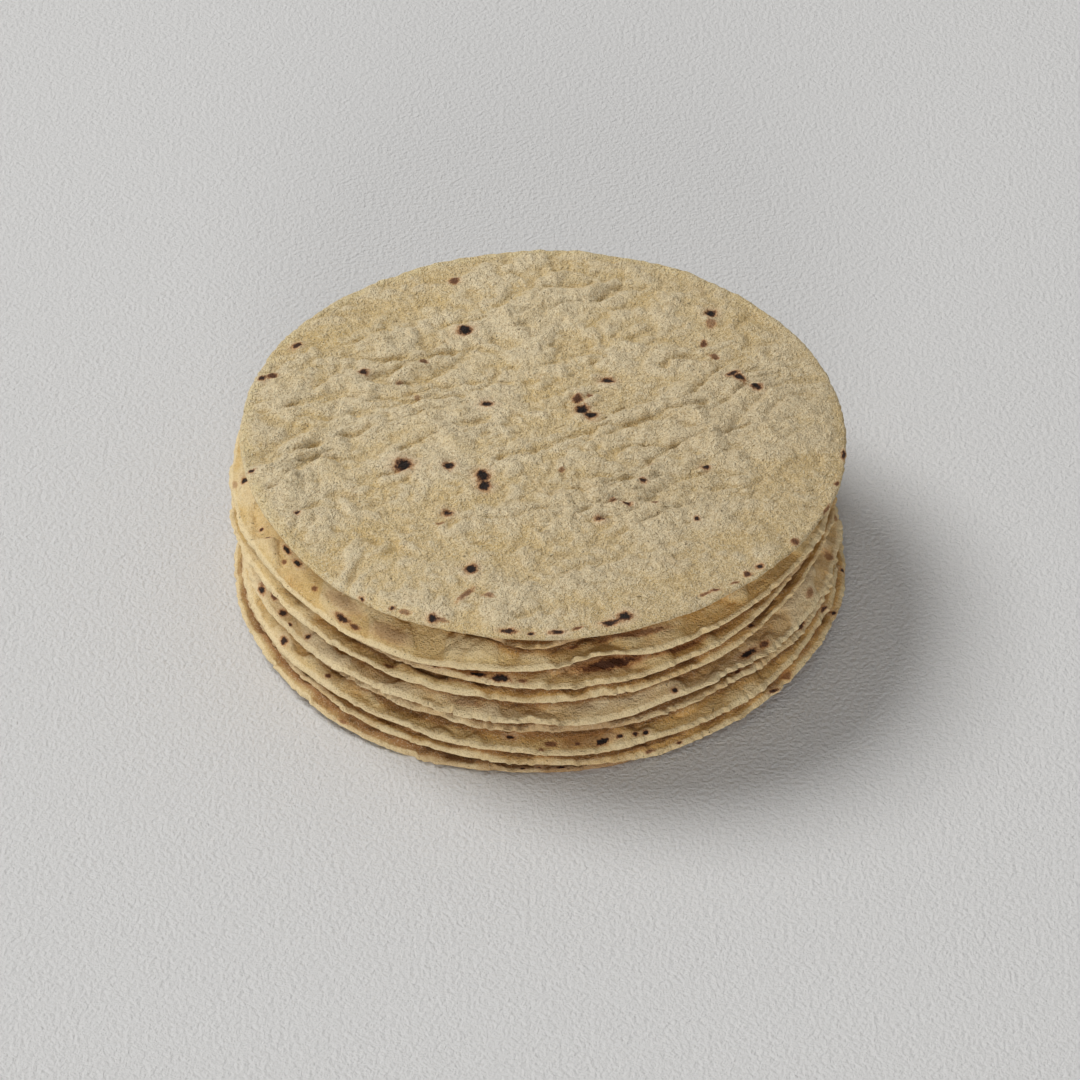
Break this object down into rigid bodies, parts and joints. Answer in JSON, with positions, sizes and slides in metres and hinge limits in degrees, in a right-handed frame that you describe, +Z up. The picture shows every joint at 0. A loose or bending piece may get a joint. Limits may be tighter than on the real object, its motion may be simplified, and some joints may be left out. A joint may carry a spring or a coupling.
{
  "type": "stack of corn tortillas",
  "caption": "Loose stack of soft round corn tortillas, thin discs with drooping wavy rims, lying one on another as served flat on a table.",
  "frame": {"origin": "middle of the footprint, on the plane the stack lies on", "axes": "+Z up through the stack; -Y is the side seen from the front; +X to the right of it"},
  "size_m": [0.1524, 0.1507, 0.0445],
  "materials": {
    "tortilla_01": "dry matte griddled corn dough, pale yellow with a fine grain and scattered char spots",
    "tortilla_02": "dry matte griddled corn dough, pale yellow with a fine grain and scattered char spots",
    "tortilla_03": "dry matte griddled corn dough, pale yellow with a fine grain and scattered char spots",
    "tortilla_04": "dry matte griddled corn dough, pale yellow with a fine grain and scattered char spots",
    "tortilla_05": "dry matte griddled corn dough, pale yellow with a fine grain and scattered char spots",
    "tortilla_06": "dry matte griddled corn dough, pale yellow with a fine grain and scattered char spots",
    "tortilla_07": "dry matte griddled corn dough, pale yellow with a fine grain and scattered char spots",
    "tortilla_08": "dry matte griddled corn dough, pale yellow with a fine grain and scattered char spots",
    "tortilla_09": "dry matte griddled corn dough, pale yellow with a fine grain and scattered char spots",
    "tortilla_10": "dry matte griddled corn dough, pale yellow with a fine grain and scattered char spots"
  },
  "bodies": {
    "root": {"tortilla_01": "tortilla_01", "tortilla_02": "tortilla_02", "tortilla_03": "tortilla_03", "tortilla_04": "tortilla_04", "tortilla_05": "tortilla_05", "tortilla_06": "tortilla_06", "tortilla_07": "tortilla_07", "tortilla_08": "tortilla_08", "tortilla_09": "tortilla_09", "tortilla_10": "tortilla_10"}
  },
  "joints": []
}
